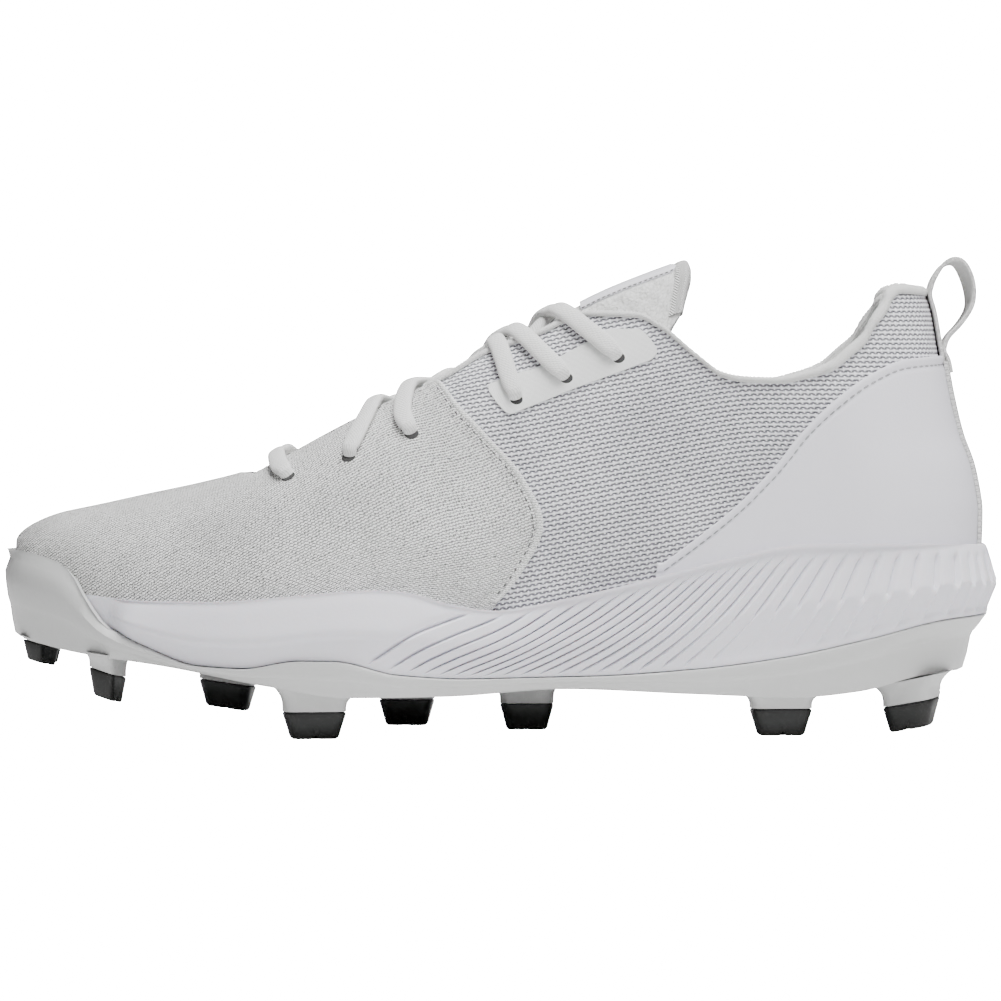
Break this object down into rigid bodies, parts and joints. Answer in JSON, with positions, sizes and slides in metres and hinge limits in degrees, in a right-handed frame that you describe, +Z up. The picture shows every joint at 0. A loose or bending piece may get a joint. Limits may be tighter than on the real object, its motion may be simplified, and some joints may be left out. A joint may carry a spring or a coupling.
{
  "type": "baseball cleat",
  "caption": "Low-top moulded baseball cleat for the left foot: hollow mesh upper, laces, pull loop, pleated foam midsole and studded plate with a toe bumper.",
  "frame": {"origin": "on the ground under the middle of the shoe's overall box", "axes": "+Z up, -X to the toe, +X to the heel, -Y to the outer side of the foot"},
  "size_m": [0.3, 0.1092, 0.144],
  "materials": {
    "plate": "satin moulded",
    "stud": "smooth moulded",
    "foam": "matt foam",
    "sock": "knit",
    "mesh": "woven mesh",
    "woven": "fine weave",
    "synthetic": "smooth synthetic",
    "tape": "woven tape",
    "film": "satin film",
    "lining": "ribbed knit",
    "knit": "loop knit",
    "lace": "woven lace",
    "webbing": "webbing"
  },
  "bodies": {
    "root": {"outsole": "plate", "midsole": "foam", "insole": "sock", "upper": "mesh", "vamp_panel": "woven", "heel_counter": "synthetic", "heel_strip": "tape", "eyestay_lateral": "film", "eyestay_medial": "film", "collar_lining": "lining", "tongue": "knit", "tongue_panel": "film", "laces": "lace", "pull_loop": "webbing", "stud_tip_01": "stud", "stud_tip_02": "stud", "stud_tip_03": "stud", "stud_tip_04": "stud", "stud_tip_05": "stud", "stud_tip_06": "stud", "stud_tip_07": "stud", "stud_tip_08": "stud", "stud_tip_09": "stud", "stud_tip_10": "stud", "stud_tip_11": "stud"}
  },
  "joints": []
}
